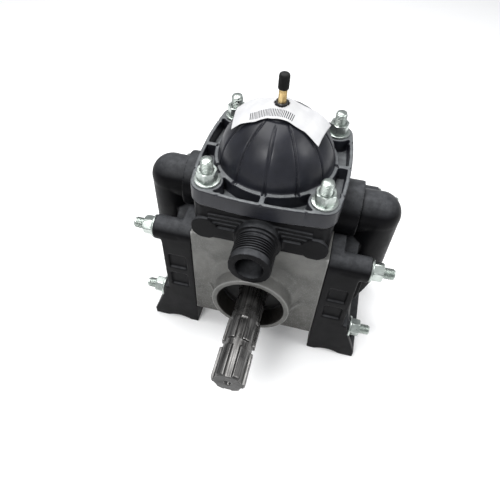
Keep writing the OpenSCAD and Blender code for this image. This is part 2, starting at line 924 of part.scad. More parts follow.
// A threaded port with a round foot where it leaves the head
module port(s) {
  root = face_half - 10;
  foot_end = face_half + 9;
  tip = face_half + port_len;
  translate([0, 0, port_height]) {
    along_y(s > 0 ? root : -foot_end, s > 0 ? foot_end : -root, port_r + 3);
    along_y(s > 0 ? root : -tip, s > 0 ? tip : -root, port_r);
  }
}

module top_head()
  color(plastic_colour)
    difference() {
      top_outside();
      at_side("top") head_cavity();
      stud_holes("top");
      top_galleries();
    }

module top_galleries() {
  for (s = [-1, 1]) {
    translate([s > 0 ? spigot_in - 1 : -collar_out - over, 0, duct_height])
      rotate([0, 90, 0])
        cylinder(h = collar_out + over - spigot_in + 1, r = spigot_r + spigot_gap);
    difference() {
      translate([s > 0 ? 50 : -spigot_in, 0, duct_height])
        rotate([0, 90, 0])
          cylinder(h = spigot_in - 50, r = duct_bore_r);
      block(-100, 100, -duct_web / 2, duct_web / 2, 0, 300);
    }
    for (way = VALVES)
      block(s > 0 ? 50 : -62, s > 0 ? 62 : -50, way > 0 ? duct_web / 2 : -13, way > 0 ? 13 : -duct_web / 2,
            duct_height, plenum_top);
  }
  for (way = VALVES) {
    block(-62, 62, way > 0 ? duct_web / 2 : -42, way > 0 ? 42 : -duct_web / 2, plenum_bottom, plenum_top);
    block(-9, 9, way > 0 ? 41 : -gallery_end - tiny, way > 0 ? gallery_end + tiny : -41, port_height - 6, plenum_top);
  }
  translate([0, 0, port_height]) {
    along_y(-face_half - port_len - over, -gallery_end, inlet_bore_r);
    along_y(gallery_end, face_half + port_len + over, outlet_bore_r);
  }
  translate([0, 22, plenum_top - tiny]) cylinder(h = 20, r = 16);
}

module duct_seals()
  color(rubber_colour)
    for (s = [-1, 1])
      translate([s > 0 ? seal_groove_x + fit : -seal_groove_x - fit - seal_ring_w, 0, duct_height])
        rotate([0, 90, 0])
          ring(spigot_r - 1.95, spigot_r + spigot_gap / 2, seal_ring_w);

// ---------------------------------------------------------------- air chamber

module flange_bosses(r)
  for (x = [-stud_half, stud_half], y = [-stud_half, stud_half])
    translate([x, y])
      circle(r = r);

module between_bosses() {
  square([2 * stud_half, 2 * flange_edge], center = true);
  square([2 * flange_edge, 2 * stud_half], center = true);
}

module flange_outline() {
  flange_bosses(flange_boss_r);
  intersection() {
    between_bosses();
    bulged_sides(flange_edge - bulge_r, bulge_r);
  }
}

// The shape that four large circles share, one for each side of the flange
module bulged_sides(shift, r)
  intersection() {
    translate([shift, 0]) circle(r = r, $fn = 180);
    translate([-shift, 0]) circle(r = r, $fn = 180);
    translate([0, shift]) circle(r = r, $fn = 180);
    translate([0, -shift]) circle(r = r, $fn = 180);
  }

module flange_pockets()
  difference() {
    intersection() {
      bulged_sides(flange_edge - bulge_r, bulge_r - rib_t);
      between_bosses();
    }
    circle(r = ring_wall_r);
    flange_bosses(flange_boss_r - 1);
    square([2 * flange_edge, rib_t + 1], center = true);
    square([rib_t + 1, 2 * flange_edge], center = true);
  }

module air_chamber()
  color(plastic_colour)
    difference() {
      union() {
        translate([0, 0, dome_base])
          difference() {
            linear_extrude(flange_h) flange_outline();
            translate([0, 0, 4]) linear_extrude(flange_h) flange_pockets();
          }
        intersection() {
          translate([0, 0, dome_centre]) sphere(r = dome_r, $fn = 96);
          translate([0, 0, dome_base]) cylinder(h = 200, r = dome_r + over);
        }
        translate([0, 0, dome_apex - 3]) cylinder(h = stem_boss_h + 3, r = 9);
      }
      difference() {
        translate([0, 0, dome_centre]) sphere(r = dome_r - dome_wall, $fn = 96);
        translate([-100, -100, dome_base - 200]) cube([200, 200, 200]);
      }
      translate([0, 0, dome_base - over]) cylinder(h = 2 * over, r = dome_r - dome_wall - 2);
      translate([0, 0, dome_apex - 20]) cylinder(h = 40, r = stem_r + fit);
      stud_holes("top");
    }

module air_diaphragm()
  color(rubber_colour)
    translate([0, 0, block_top])
      difference() {
        intersection() {
          linear_extrude(diaphragm_t) flange_outline();
          translate([0, 0, -over]) rounded_plate(face_half, boss_r, diaphragm_t + 2 * over);
        }
        at_corners(stud_half) translate([0, 0, -over]) cylinder(h = diaphragm_t + 2 * over, r = stud_r + 0.5);
      }

// ---------------------------------------------------------------- fasteners

module stud_stations()
  for (side = SIDES)
    at_side(side)
      at_corners(stud_half)
        translate([0, 0, flange_reach + nut_seat(side)])
          rotate(15)
            children();

module head_studs()
  color(zinc_colour)
    for (side = SIDES) {
      low = flange_reach - stud_depth;
      high = flange_reach + nut_seat(side) + washer_t + nut_h + stud_tip;
      at_side(side)
        at_corners(stud_half) {
          translate([0, 0, low]) cylinder(h = high - low - 1.5, r = stud_r);
          translate([0, 0, high - 1.5 - tiny]) cylinder(h = 1.5, r1 = stud_r, r2 = stud_r - 1.5);
        }
    }

module head_washers()
  color(zinc_colour)
    stud_stations() ring(stud_r + 0.2, washer_r, washer_t);

module head_nuts()
  color(zinc_colour)
    stud_stations()
      translate([0, 0, washer_t])
        difference() {
          intersection() {
            cylinder(h = nut_h, r = nut_af / 2 / cos(30), $fn = 6);
            translate([0, 0, nut_h / 2])
              sphere(r = nut_af * 0.65);
          }
          translate([0, 0, -over]) cylinder(h = nut_h + 2 * over, r = stud_r + fit);
        }

// ---------------------------------------------------------------- tyre valve

module tyre_valve()
  color(brass_colour)
    difference() {
      union() {
        translate([0, 0, dome_apex - dome_wall - 2.6]) cylinder(h = 2, r = 8);
        translate([0, 0, dome_apex - dome_wall - 2.6])
          cylinder(h = cap_bottom + 9 - dome_apex + dome_wall + 2.6, r = stem_r);
      }
      translate([0, 0, dome_apex - dome_wall - 10]) cylinder(h = 60, r = stem_r - 1.6);
    }

module tyre_valve_nut()
  color(brass_colour)
    translate([0, 0, stem_base])
      difference() {
        cylinder(h = stem_nut_h, r = 6.6, $fn = 6);
        translate([0, 0, -over]) cylinder(h = stem_nut_h + 2 * over, r = stem_r + fit);
      }

module tyre_valve_pin()
  color(brass_colour)
    translate([0, 0, cap_bottom - 8]) {
      cylinder(h = 16, r = 0.8);
      cylinder(h = 3, r = stem_r - 1.6 - running_fit);
    }

module tyre_valve_cap()
  color(rubber_colour)
    translate([0, 0, cap_bottom])
      difference() {
        union() {
          cylinder(h = cap_h - 2, r = cap_outer_r);
          translate([0, 0, cap_h - 2 - tiny]) cylinder(h = 2, r1 = cap_outer_r, r2 = cap_outer_r - 1.6);
        }
        translate([0, 0, -over]) cylinder(h = 11, r = stem_r + running_fit);
      }

// ---------------------------------------------------------------- the nodes

crankcase();
rear_cover();
rear_cover_gasket();
rear_cover_bolts();
oil_fill_plug();
oil_drain_plug();
cylinder_sleeves();
bearing_outer_races();
bearing_inner_races();
bearing_balls();
bearing_cages();
shaft_seal();
seal_circlip();
drive_shaft();
eccentric_rollers();
eccentric_ring();
piston("left");  // left_piston
rod("left");  // left_rod
piston_pin("left");  // left_pin
disc("left");  // left_disc
disc_bolt("left");  // left_disc_bolt
diaphragm("left");  // left_diaphragm
piston("right");  // right_piston
rod("right");  // right_rod
piston_pin("right");  // right_pin
disc("right");  // right_disc
disc_bolt("right");  // right_disc_bolt
diaphragm("right");  // right_diaphragm
piston("top");  // top_piston
rod("top");  // top_rod
piston_pin("top");  // top_pin
disc("top");  // top_disc
disc_bolt("top");  // top_disc_bolt
diaphragm("top");  // top_diaphragm
left_head();
right_head();
top_head();
duct_seals();
valve_cages();
valve_plate("left", -1);  // left_inlet_plate
valve_plate("left", 1);  // left_outlet_plate
valve_plate("right", -1);  // right_inlet_plate
valve_plate("right", 1);  // right_outlet_plate
valve_plate("top", -1);  // top_inlet_plate
valve_plate("top", 1);  // top_outlet_plate
valve_springs();
air_chamber();
air_diaphragm();
head_studs();
head_nuts();
head_washers();
tyre_valve();
tyre_valve_nut();
tyre_valve_pin();
tyre_valve_cap();
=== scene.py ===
"""Looks of a three-cylinder diaphragm pump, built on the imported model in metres."""
import json
import math

import bmesh
import bpy
import numpy as np
from mathutils import Matrix, Vector, noise


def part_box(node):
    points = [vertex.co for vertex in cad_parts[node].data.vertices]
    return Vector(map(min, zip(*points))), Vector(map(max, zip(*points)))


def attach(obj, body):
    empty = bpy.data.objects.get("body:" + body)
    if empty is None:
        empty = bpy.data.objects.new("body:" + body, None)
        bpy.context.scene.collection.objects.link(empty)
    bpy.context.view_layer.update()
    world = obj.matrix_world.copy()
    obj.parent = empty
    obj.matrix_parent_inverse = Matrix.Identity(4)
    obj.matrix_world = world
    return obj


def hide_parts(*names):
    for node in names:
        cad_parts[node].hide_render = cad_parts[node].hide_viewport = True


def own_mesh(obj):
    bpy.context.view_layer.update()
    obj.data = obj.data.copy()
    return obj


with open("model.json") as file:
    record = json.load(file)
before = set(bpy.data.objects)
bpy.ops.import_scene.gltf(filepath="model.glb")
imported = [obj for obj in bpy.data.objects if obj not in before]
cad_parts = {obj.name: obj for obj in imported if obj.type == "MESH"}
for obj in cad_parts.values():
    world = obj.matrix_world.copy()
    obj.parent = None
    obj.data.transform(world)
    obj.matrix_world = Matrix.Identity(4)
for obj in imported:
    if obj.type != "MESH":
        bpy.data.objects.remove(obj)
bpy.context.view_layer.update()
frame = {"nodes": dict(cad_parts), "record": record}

NODES = frame["nodes"]
RECORD = frame["record"]
MM = 0.001


# ---------------------------------------------------------------- sizes taken from the frame

MOUNTS = {mount["name"]: mount for mount in RECORD["mounts"]}
SHAFT_Z = MOUNTS["drive_shaft"]["pos_m"][2]
PORT_Z = MOUNTS["front_port"]["pos_m"][2]
PORT_R = MOUNTS["front_port"]["dims"]["r_mm"] * MM
PORT_TIP = -MOUNTS["front_port"]["pos_m"][1]
THREAD_DEPTH = 1.5 * MM
STUD_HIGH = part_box("head_studs")[1]
CASE_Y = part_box("crankcase")[1].y
VALVE_LOW, VALVE_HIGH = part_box("tyre_valve")
CAP_LOW, CAP_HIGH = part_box("tyre_valve_cap")
NUT_LOW, NUT_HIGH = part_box("tyre_valve_nut")

# The bore in front of the seal is a little narrower than the circlip in its groove
CIRCLIP_LOW, CIRCLIP_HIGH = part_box("seal_circlip")
RECESS_R = (CIRCLIP_HIGH.x - CIRCLIP_LOW.x) / 2 - 0.9 * MM

# Studs, nuts and washers of the three heads: four studs to a head, at the corners of a square
STUD_HALF = 55 * MM
STUD_R = 6 * MM
STUD_LENGTH = 60 * MM
STUD_THREADED = 24 * MM
STUD_TIP = 12 * MM
WASHER_R = 12.5 * MM
WASHER_T = 2.5 * MM
NUT_AF = 18 * MM
NUT_H = 10.5 * MM

# The dome of the air chamber, whose boss stands a little over it, and the seat of the top nuts
DOME_R = 58 * MM
DOME_BOSS_H = 3 * MM
DOME_CENTRE_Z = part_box("air_chamber")[1].z - DOME_BOSS_H - DOME_R
SEAT_Z = DOME_CENTRE_Z + 4.5 * MM


# ---------------------------------------------------------------- materials

class Finish:
    """A material in the making: its Principled shader, and short calls for the nodes that feed it."""

    def __init__(self, name, metallic=0.0, specular=0.5, coat=0.0):
        self.material = bpy.data.materials.new(name)
        self.material.use_nodes = True
        self.tree = self.material.node_tree
        self.shader = self.tree.nodes["Principled BSDF"]
        self.shader.inputs["Metallic"].default_value = metallic
        self.shader.inputs["Specular IOR Level"].default_value = specular
        self.shader.inputs["Coat Weight"].default_value = coat
        self.shader.inputs["Coat Roughness"].default_value = 0.25
        self.where = self.tree.nodes.new("ShaderNodeTexCoord").outputs["Object"]
        self.geometry = self.tree.nodes.new("ShaderNodeNewGeometry")

    def add(self, kind):
        return self.tree.nodes.new(kind)

    def join(self, source, target):
        self.tree.links.new(source, target)

    def stretched(self, factors):
        """Coordinates scaled by one factor per axis, for grain that runs one way."""
        scale = self.add("ShaderNodeVectorMath")
        scale.operation = "MULTIPLY"
        self.join(self.where, scale.inputs[0])
        scale.inputs[1].default_value = factors
        return scale.outputs[0]

    def noise(self, scale, detail=4.0, roughness=0.55, where=None):
        node = self.add("ShaderNodeTexNoise")
        self.join(where or self.where, node.inputs["Vector"])
        node.inputs["Scale"].default_value = scale
        node.inputs["Detail"].default_value = detail
        node.inputs["Roughness"].default_value = roughness
        return node.outputs["Fac"]

    def cells(self, scale):
        node = self.add("ShaderNodeTexVoronoi")
        self.join(self.where, node.inputs["Vector"])
        node.inputs["Scale"].default_value = scale
        return node.outputs["Distance"]

    def between(self, value, low, high, out_low=0.0, out_high=1.0):
        """value mapped from low..high to out_low..out_high and clamped."""
        node = self.add("ShaderNodeMapRange")
        self.join(value, node.inputs["Value"])
        node.inputs["From Min"].default_value = low
        node.inputs["From Max"].default_value = high
        node.inputs["To Min"].default_value = out_low
        node.inputs["To Max"].default_value = out_high
        return node.outputs["Result"]

    def times(self, a, b):
        node = self.add("ShaderNodeMath")
        node.operation = "MULTIPLY"
        for socket, value in zip(node.inputs, (a, b)):
            if isinstance(value, (int, float)):
                socket.default_value = value
            else:
                self.join(value, socket)
        return node.outputs[0]

    def mixed(self, share, a, b):
        """Colour a turning into colour b as share goes from 0 to 1."""
        node = self.add("ShaderNodeMix")
        node.data_type = "RGBA"
        self.join(share, node.inputs["Factor"])
        for socket, colour in ((node.inputs[6], a), (node.inputs[7], b)):
            if isinstance(colour, tuple):
                socket.default_value = (*colour, 1)
            else:
                self.join(colour, socket)
        return node.outputs[2]

    def edges(self, low=0.52, high=0.60):
        """1 on sharp outer edges of a dense mesh and 0 elsewhere."""
        return self.between(self.geometry.outputs["Pointiness"], low, high)

    def facing(self, axis, low, high):
        """0 to 1 as the surface's own direction along an axis goes from low to high."""
        split = self.add("ShaderNodeSeparateXYZ")
        self.join(self.geometry.outputs["Normal"], split.inputs[0])
        return self.between(split.outputs[axis], low, high)

    def within(self, radius):
        """1 inside a radius of the shaft's axis and 0 outside it."""
        split = self.add("ShaderNodeSeparateXYZ")
        self.join(self.where, split.inputs[0])
        flat = self.add("ShaderNodeCombineXYZ")
        self.join(split.outputs["X"], flat.inputs["X"])
        self.join(split.outputs["Z"], flat.inputs["Z"])
        away = self.add("ShaderNodeVectorMath")
        away.operation = "DISTANCE"
        self.join(flat.outputs[0], away.inputs[0])
        away.inputs[1].default_value = (0, 0, SHAFT_Z)
        return self.between(away.outputs["Value"], radius, radius + 0.6 * MM, 1.0, 0.0)

    def fading_up(self, low, high):
        """1 below the height low, 0 above high and a steady fade between them."""
        split = self.add("ShaderNodeSeparateXYZ")
        self.join(self.where, split.inputs[0])
        return self.between(split.outputs["Z"], low, high, 1.0, 0.0)

    def below(self, height):
        """1 below a height in metres and 0 above it."""
        split = self.add("ShaderNodeSeparateXYZ")
        self.join(self.where, split.inputs[0])
        return self.between(split.outputs["Z"], height, height + 1.5 * MM, 1.0, 0.0)

    def colour(self, source):
        self.join(source, self.shader.inputs["Base Color"])

    def roughness(self, source):
        self.join(source, self.shader.inputs["Roughness"])

    def bump(self, height, strength, distance):
        node = self.add("ShaderNodeBump")
        self.join(height, node.inputs["Height"])
        node.inputs["Strength"].default_value = strength
        node.inputs["Distance"].default_value = distance
        if self.shader.inputs["Normal"].is_linked:
            self.join(self.shader.inputs["Normal"].links[0].from_socket, node.inputs["Normal"])
        self.join(node.outputs["Normal"], self.shader.inputs["Normal"])


def cast_aluminium():
    f = Finish("cast_aluminium", metallic=0.55, specular=0.35)
    clean = f.mixed(f.between(f.noise(28, 5), 0.35, 0.68), (0.138, 0.138, 0.131), (0.208, 0.206, 0.196))
    # painted shade: the casting is darkened towards the bottom, broken up by noise, for the shade on its
    # lower parts
    low_shade = f.times(f.fading_up(20 * MM, 185 * MM), f.between(f.noise(16, 4), 0.25, 0.65, 0.70, 0.97))
    low_shaded = f.mixed(low_shade, clean, (0.036, 0.034, 0.030))
    speckled = f.mixed(f.between(f.noise(950, 3), 0.52, 0.70), low_shaded, (0.17, 0.175, 0.17))
    worn = f.mixed(f.times(f.edges(0.52, 0.58), 0.6), speckled, (0.50, 0.50, 0.49))
    # painted shade with grease: the bore round the shaft is darkened inside the recess radius, where shade
    # falls, along with some grease
    grease_and_shade = f.times(f.within(RECESS_R), f.between(f.noise(90, 4), 0.2, 0.5, 0.85, 0.97))
    f.colour(f.mixed(grease_and_shade, worn, (0.017, 0.015, 0.013)))
    f.roughness(f.between(f.noise(120, 4), 0.3, 0.7, 0.50, 0.70))
    f.bump(f.noise(620, 5, 0.7), 0.35, 0.35 * MM)
    f.bump(f.cells(420), 0.12, 0.25 * MM)
    return f.material


def moulded_black(name, base, dust_sheen_colour, low_rough, high_rough, grain, specular=0.07, dust_and_sheen_below=10.0,
                  dust_and_sheen_from=0.45):
    """Black moulded plastic: a fine grain, faint flow marks, rubbed edges, and dusting with a painted sheen
    (a lighter colour standing in for light from above) below a height, on surfaces that face up past a
    threshold."""
    f = Finish(name, specular=specular)
    body = f.mixed(f.between(f.noise(45, 4), 0.35, 0.7), base, tuple(1.7 * c for c in base))
    # painted sheen with some dusting: surfaces that face up are lightened, standing in for light from above
    dust_and_sheen = f.times(f.facing("Z", dust_and_sheen_from, 1.0), f.between(f.noise(140, 6, 0.65), 0.36, 0.70, 0.40, 0.75))
    dust_and_sheen = f.times(dust_and_sheen, f.below(dust_and_sheen_below))
    dusted_and_sheened = f.mixed(dust_and_sheen, body, dust_sheen_colour)
    rubbed = f.times(f.edges(), f.between(f.noise(260, 4), 0.35, 0.7, 0.0, 0.12))
    f.colour(f.mixed(rubbed, dusted_and_sheened, tuple(0.8 * c for c in dust_sheen_colour)))
    f.roughness(f.between(f.noise(75, 5), 0.3, 0.7, low_rough, high_rough))
    f.bump(f.noise(grain, 3, 0.6), 0.22, 0.12 * MM)
    f.bump(f.noise(60, 2), 0.10, 1.0 * MM)
    return f.material


def plated_steel(name, light, dark, low_rough, high_rough):
    """Zinc plate: pale patches, fine scratches and a duller film in places."""
    f = Finish(name, metallic=1.0)
    patch = f.mixed(f.between(f.noise(190, 5), 0.35, 0.68), light, dark)
    grime = f.times(f.between(f.noise(330, 4, 0.6), 0.55, 0.80), 0.35)
    f.colour(f.mixed(grime, patch, tuple(0.5 * c for c in dark)))
    f.roughness(f.between(f.noise(260, 4), 0.3, 0.7, low_rough, high_rough))
    f.bump(f.noise(420, 3, 0.5), 0.05, 0.1 * MM)
    return f.material


def oiled_steel():
    """Machined dark steel with oil: grain along the shaft, rubbed tooth tips, wet patches, and painted shade
    on the end that faces the front.
    """
    f = Finish("shaft_steel", metallic=0.9, specular=0.6)
    along = f.noise(1.0, 5, 0.6, where=f.stretched((900, 28, 900)))
    streaked = f.mixed(f.between(along, 0.35, 0.68), (0.036, 0.035, 0.034), (0.19, 0.186, 0.182))
    tipped = f.mixed(f.times(f.edges(0.52, 0.60), 0.75), streaked, (0.55, 0.54, 0.53))
    # painted shade: the end face that looks to the front (-Y) is darkened
    end_shade = f.times(f.facing("Y", -0.75, -0.95), 0.9)
    f.colour(f.mixed(end_shade, tipped, (0.012, 0.0115, 0.011)))
    f.roughness(f.between(f.noise(70, 4), 0.35, 0.68, 0.20, 0.46))
    f.bump(along, 0.20, 0.12 * MM)
    return f.material


def turned_metal(name, light, dark, low_rough, high_rough, metallic=1.0):
    """A turned or ground surface: fine rings of tool marks and a slight tarnish."""
    f = Finish(name, metallic=metallic)
    tarnish = f.between(f.noise(160, 5, 0.6), 0.36, 0.70)
    f.colour(f.mixed(tarnish, light, dark))
    f.roughness(f.between(f.noise(420, 4), 0.3, 0.7, low_rough, high_rough))
    f.bump(f.noise(1400, 3), 0.12, 0.06 * MM)
    return f.material


def soft_rubber(name, base):
    f = Finish(name, specular=0.3)
    f.colour(f.mixed(f.between(f.noise(110, 5), 0.35, 0.7), base, tuple(2.2 * c for c in base)))
    f.roughness(f.between(f.noise(220, 4), 0.3, 0.7, 0.58, 0.80))
    f.bump(f.noise(1300, 4), 0.20, 0.12 * MM)
    return f.material


def label_paper():
    """White label paper with plain grey bars across its middle."""
    f = Finish("label_paper", specular=0.25)
    uv = f.add("ShaderNodeUVMap")
    uv.uv_map = "sheet"
    split = f.add("ShaderNodeSeparateXYZ")
    f.join(uv.outputs["UV"], split.inputs[0])
    half_pitch = 0.0085
    wave = f.add("ShaderNodeMath")
    wave.operation = "PINGPONG"
    f.join(split.outputs["X"], wave.inputs[0])
    wave.inputs[1].default_value = half_pitch
    bars = f.between(wave.outputs[0], 0.0038, 0.0046)
    for axis, low, high in (("X", 0.22, 0.70), ("Y", 0.07, 0.30)):
        inside = f.add("ShaderNodeMath")
        inside.operation = "COMPARE"
        f.join(split.outputs[axis], inside.inputs[0])
        inside.inputs[1].default_value = (low + high) / 2
        inside.inputs[2].default_value = (high - low) / 2
        bars = f.times(bars, inside.outputs[0])
    paper = f.mixed(f.between(f.noise(60, 5), 0.35, 0.7), (0.48, 0.48, 0.49), (0.54, 0.54, 0.54))
    f.colour(f.mixed(bars, paper, (0.05, 0.05, 0.055)))
    f.roughness(f.between(f.noise(90, 4), 0.3, 0.7, 0.42, 0.60))
    f.bump(f.noise(1700, 3), 0.10, 0.05 * MM)
    return f.material


MATERIALS = {
    "cast_aluminium": cast_aluminium(),
    "piston_aluminium": turned_metal("piston_aluminium", (0.62, 0.62, 0.62), (0.48, 0.48, 0.49), 0.28, 0.42),
    # the pale colours given to the moulded plastics below are a painted sheen on upward faces, with some
    # dusting
    "head_plastic": moulded_black("head_plastic", base=(0.0025, 0.0025, 0.0030), dust_sheen_colour=(0.085, 0.088, 0.094),
                                  low_rough=0.34, high_rough=0.50, grain=1500),
    "dome_plastic": moulded_black("dome_plastic", base=(0.0095, 0.0100, 0.0135), dust_sheen_colour=(0.20, 0.21, 0.215),
                                  low_rough=0.30, high_rough=0.42, grain=1900, specular=0.30,
                                  dust_and_sheen_below=SEAT_Z + 0.5 * MM, dust_and_sheen_from=0.75),
    "cap_plastic": moulded_black("cap_plastic", base=(0.008, 0.008, 0.008), dust_sheen_colour=(0.03, 0.03, 0.03),
                                 low_rough=0.40, high_rough=0.55, grain=1700),
    "zinc_plated_steel": plated_steel("zinc_plated_steel", (0.50, 0.54, 0.51), (0.37, 0.41, 0.385),
                                      0.26, 0.38),
    "stainless_steel": turned_metal("stainless_steel", (0.62, 0.61, 0.59), (0.50, 0.49, 0.48), 0.22, 0.34),
    "blackened_steel": turned_metal("blackened_steel", (0.050, 0.050, 0.052), (0.085, 0.082, 0.08),
                                    0.32, 0.48, metallic=0.85),
    "shaft_steel": oiled_steel(),
    "bearing_steel": turned_metal("bearing_steel", (0.66, 0.67, 0.69), (0.56, 0.57, 0.59), 0.10, 0.18),
    "cast_iron": turned_metal("cast_iron", (0.22, 0.215, 0.21), (0.15, 0.148, 0.145),
                              0.32, 0.46, metallic=0.85),
    "brass": turned_metal("brass", (0.76, 0.60, 0.33), (0.52, 0.40, 0.20), 0.24, 0.38),
    "rubber": soft_rubber("rubber", (0.012, 0.012, 0.012)),
}
PAPER = label_paper()
SLOTS = {row["node"]: row["material_slot"] for row in RECORD["subparts"]}

for node, piece in NODES.items():
    piece.data.materials.clear()
    piece.data.materials.append(MATERIALS[SLOTS[node]])


# ---------------------------------------------------------------- making pieces

def riding_piece(name, mesh, body, material):
    """A named object from a mesh, with one material, riding on a body."""
    piece = bpy.data.objects.new(name, mesh)
    bpy.context.scene.collection.objects.link(piece)
    mesh.materials.clear()
    mesh.materials.append(material)
    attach(piece, body)
    return piece


def new_piece(name, mesh, body, slot, *nodes):
    """A riding piece finished with a slot's material, in place of CAD nodes if any are named."""
    piece = riding_piece(name, mesh, body, MATERIALS[slot])
    if nodes:
        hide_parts(*nodes)
    return piece


def smooth_mesh(mesh, angle=math.radians(35)):
    """Smooth shading with edges sharper than angle kept crisp."""
    mesh.shade_smooth()
    mesh.set_sharp_from_angle(angle=angle)


def mesh_of(points, faces):
    """A mesh from points and faces."""
    mesh = bpy.data.meshes.new("made")
    mesh.from_pydata([tuple(p) for p in points], [], faces)
    mesh.update()
    return mesh


def grid_faces(rows, columns, closed_columns=False, closed_rows=False):
    """Quads between rows of points, each row holding the same number of columns."""
    faces = []
    for r in range(rows if closed_rows else rows - 1):
        for c in range(columns if closed_columns else columns - 1):
            a, b = r * columns + c, r * columns + (c + 1) % columns
            above = ((r + 1) % rows) * columns
            faces.append((a, b, above + (c + 1) % columns, above + c))
    return faces


def joined(meshes):
    """One mesh from several."""
    bm = bmesh.new()
    for mesh in meshes:
        bm.from_mesh(mesh)
    whole = bpy.data.meshes.new("joined")
    bm.to_mesh(whole)
    bm.free()
    return whole


def cleaned(mesh, gap=1e-7, degenerate=False):
    """The mesh with points closer than gap merged and every face turned outward."""
    bm = bmesh.new()
    bm.from_mesh(mesh)
    bmesh.ops.remove_doubles(bm, verts=bm.verts, dist=gap)
    if degenerate:
        bmesh.ops.dissolve_degenerate(bm, edges=bm.edges, dist=gap)
    bmesh.ops.recalc_face_normals(bm, faces=bm.faces)
    bm.to_mesh(mesh)
    bm.free()
    return mesh


def placed(mesh, matrix):
    """A copy of the mesh, moved by a matrix."""
    copy = mesh.copy()
    copy.transform(matrix)
    return copy


def side_matrix(side):
    """Turns a shape that points up from the shaft's axis into one that points out along a cylinder."""
    angle = {"left": -90, "right": 90, "top": 0}[side]
    return Matrix.Translation((0, 0, SHAFT_Z)) @ Matrix.Rotation(math.radians(angle), 4, "Y")


def softened(node, voxel, rounds, share, shape=None):
    """A copy of a CAD node with small fillets, as a casting or moulding has, kept inside the node's own box.
    shape, if given, moves the points of the dense mesh before it is thinned."""
    source = bpy.data.objects.new("softening", NODES[node].data.copy())
    bpy.context.scene.collection.objects.link(source)
    remesh = source.modifiers.new("remesh", "REMESH")
    remesh.mode = "VOXEL"
    remesh.voxel_size = voxel
    ease = source.modifiers.new("ease", "SMOOTH")
    ease.factor = 0.5
    ease.iterations = rounds
    dense = evaluated(source)
    if shape:
        points = np.empty(len(dense.vertices) * 3, np.float32)
        dense.vertices.foreach_get("co", points)
        points = shape(points.reshape(-1, 3).astype(float))
        dense.vertices.foreach_set("co", points.astype(np.float32).ravel())
        dense.update()
    source.modifiers.clear()
    source.data = dense
    thin = source.modifiers.new("thin", "DECIMATE")
    thin.ratio = share
    thinned = evaluated(source)
    bpy.data.objects.remove(source)
    low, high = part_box(node)
    for vertex in thinned.vertices:
        for axis in range(3):
            vertex.co[axis] = min(max(vertex.co[axis], low[axis]), high[axis])
    thinned.update()
    smooth_mesh(thinned, math.radians(50))
    return thinned


def evaluated(piece):
    """A new mesh with the piece's modifiers applied."""
    graph = bpy.context.evaluated_depsgraph_get()
    return bpy.data.meshes.new_from_object(piece.evaluated_get(graph))


# ---------------------------------------------------------------- castings and mouldings

def case_shape(p):
    """A small punched dimple in the front of the case."""
    dimple_x, dimple_z = -45 * MM, SHAFT_Z + 8 * MM
    dimple_r, dimple_depth = 2.2 * MM, 1.6 * MM
    away = np.hypot(p[:, 0] - dimple_x, p[:, 2] - dimple_z)
    front = np.abs(p[:, 1] + CASE_Y) < 2 * MM
    p[:, 1] += np.where(front, dimple_depth * np.exp(-(away / dimple_r) ** 2), 0)
    return p


def port_shape(p):
    """Turns both ports down to the root of their threads."""
    root_r = PORT_R - THREAD_DEPTH
    lip, thread_end = 7 * MM, 29 * MM
    out = np.abs(p[:, 1])
    away = np.hypot(p[:, 0], p[:, 2] - PORT_Z)
    threaded = (out > PORT_TIP - thread_end) & (out < PORT_TIP - lip)
    threaded &= (away > PORT_R - 1.2 * MM) & (away < PORT_R + 1 * MM)
    shrink = np.where(threaded, root_r / np.maximum(away, 1e-9), 1.0)
    p[:, 0] *= shrink
    p[:, 2] = PORT_Z + (p[:, 2] - PORT_Z) * shrink
    return p


def dome_shape(p):
    """Meridian grooves down the dome, each ending in a notch in the ring wall, and a line round its crown."""
    grooves, groove_depth, groove_half = 12, 1.5 * MM, 0.95 * MM
    crown_angle, crown_half, crown_depth = 19, 1.6, 0.7 * MM
    ring_r, notch_depth, notch_half = DOME_R + 2 * MM, 2.2 * MM, 2.0 * MM
    rel = p - np.array([0, 0, DOME_CENTRE_Z])
    away = np.linalg.norm(rel, axis=1)
    flat = np.hypot(rel[:, 0], rel[:, 1])
    polar = np.degrees(np.arctan2(flat, rel[:, 2]))
    step = 2 * math.pi / grooves
    turn = np.arctan2(rel[:, 0], -rel[:, 1])
    off = (turn + step / 2) % step - step / 2
    across = np.abs(off) * flat
    outer = (away > DOME_R - 1.5 * MM) & (rel[:, 2] > 3 * MM)
    fade = np.clip((polar - 20) / 8, 0, 1)
    depth = groove_depth * np.exp(-(across / groove_half) ** 2) * fade * outer
    crown = crown_depth * np.exp(-((polar - crown_angle) / crown_half) ** 2) * outer
    p -= rel / np.maximum(away, 1e-9)[:, None] * (depth + crown)[:, None]
    rim = (np.abs(flat - ring_r) < 2.6 * MM) & (p[:, 2] > SEAT_Z - 1 * MM)
    p[:, 2] -= np.where(rim, notch_depth * np.exp(-(across / notch_half) ** 4), 0)
    return p


def soft_copy(name, node, body, voxel, rounds, share=0.35, shape=None):
    """A softened copy of a CAD node that stands for it, with the node's own finish."""
    new_piece(name, softened(node, voxel, rounds, share, shape), body, SLOTS[node], node)


for side in ("left", "right"):
    soft_copy(f"{side}_head_moulding", f"{side}_head", "pump_body", 1.1 * MM, 3)
soft_copy("top_head_moulding", "top_head", "pump_body", 1.0 * MM, 3, shape=port_shape)
soft_copy("crankcase_casting", "crankcase", "pump_body", 1.1 * MM, 4, shape=case_shape)
soft_copy("rear_cover_casting", "rear_cover", "pump_body", 1.0 * MM, 3)
soft_copy("air_chamber_moulding", "air_chamber", "pump_body", 0.8 * MM, 2, shape=dome_shape)
soft_copy("drive_shaft_machined", "drive_shaft", "shaft", 0.55 * MM, 2, share=0.4)


# ---------------------------------------------------------------- threads

